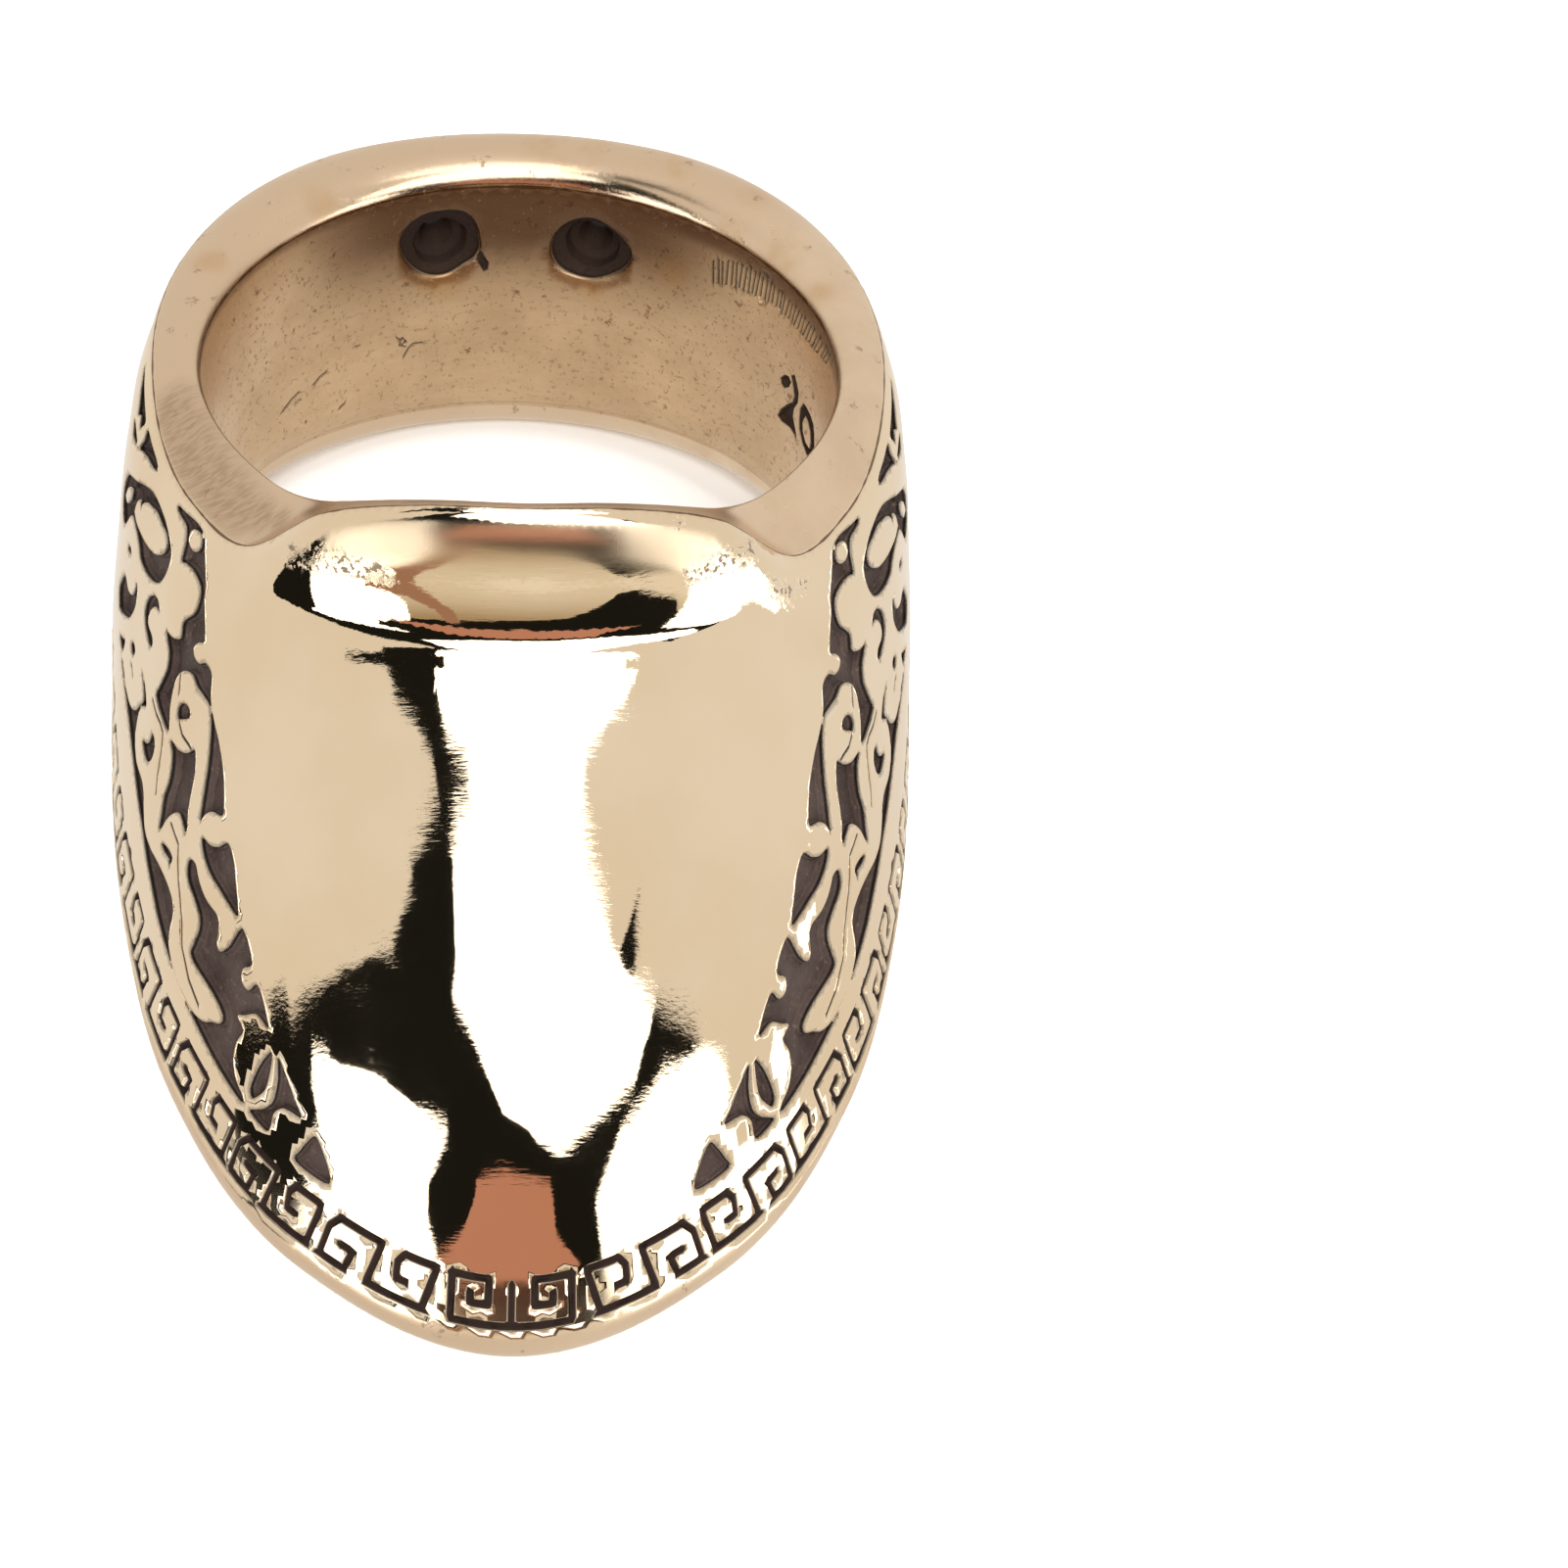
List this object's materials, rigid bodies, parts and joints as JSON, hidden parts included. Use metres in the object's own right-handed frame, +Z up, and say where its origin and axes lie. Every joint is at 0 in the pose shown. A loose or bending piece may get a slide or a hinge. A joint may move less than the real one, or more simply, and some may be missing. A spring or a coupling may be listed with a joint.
{
  "type": "archer's thumb ring",
  "caption": "Cast brass archer's thumb ring: a band with a raised front lip, a long curved tongue over the thumb's pad, scrolled sides and cord holes.",
  "frame": {"origin": "middle of the ring's box, on the surface that it stands on", "axes": "+Z up from the surface, -Y towards the tip of the tongue, +X to the right of someone who faces the tongue"},
  "size_m": [0.0254, 0.043, 0.0179],
  "materials": {
    "cast_brass": "polished front, satin rim, dark patina in the sunken ground"
  },
  "bodies": {
    "root": {"thumb_ring": "cast_brass"}
  },
  "joints": []
}
